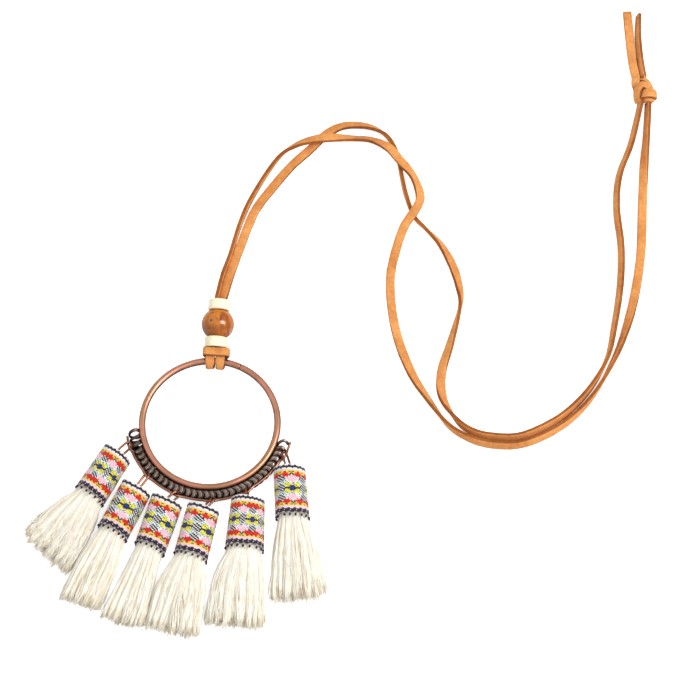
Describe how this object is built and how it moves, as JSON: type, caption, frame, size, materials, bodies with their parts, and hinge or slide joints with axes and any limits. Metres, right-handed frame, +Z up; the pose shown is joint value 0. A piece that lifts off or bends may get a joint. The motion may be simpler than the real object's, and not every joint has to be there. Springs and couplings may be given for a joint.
{
  "type": "tassel necklace",
  "caption": "Necklace with ribbon-wrapped cotton tassels hung by jump rings from a copper hoop with a wire coil, on a doubled suede lace with beads and a tied knot.",
  "frame": {"origin": "middle of the hoop, on the surface that the necklace lies on", "axes": "+Z up from the surface it lies on, +Y from the hoop towards the beads and the neck loop, +X to the right"},
  "size_m": [0.2381, 0.2555, 0.012],
  "materials": {
    "copper_hoop": "worn antique copper, darker in the grooves, the coil oxidised grey-brown",
    "copper_wire": "bright copper wire with dark edges",
    "woven_ribbon": "jacquard ribbon with small bright motifs",
    "cotton_yarn": "cream cotton strands",
    "wood_bead": "polished amber-brown wood",
    "cream_disc": "smooth cream, softly glossy",
    "suede_lace": "tan suede with darker cut edges"
  },
  "bodies": {
    "root": {"band_1": "woven_ribbon", "band_2": "woven_ribbon", "band_3": "woven_ribbon", "band_4": "woven_ribbon", "band_5": "woven_ribbon", "band_6": "woven_ribbon", "bead": "wood_bead", "disc_bottom": "cream_disc", "disc_top": "cream_disc", "hitch": "suede_lace", "hoop": "copper_hoop", "jump_ring_1": "copper_wire", "jump_ring_2": "copper_wire", "jump_ring_3": "copper_wire", "jump_ring_4": "copper_wire", "jump_ring_5": "copper_wire", "jump_ring_6": "copper_wire", "rail_wire": "copper_wire", "skirt_1": "cotton_yarn", "skirt_2": "cotton_yarn", "skirt_3": "cotton_yarn", "skirt_4": "cotton_yarn", "skirt_5": "cotton_yarn", "skirt_6": "cotton_yarn", "strand_left": "suede_lace", "strand_right": "suede_lace", "tail_left": "suede_lace", "tail_right": "suede_lace", "tie_knot": "suede_lace"}
  },
  "joints": []
}
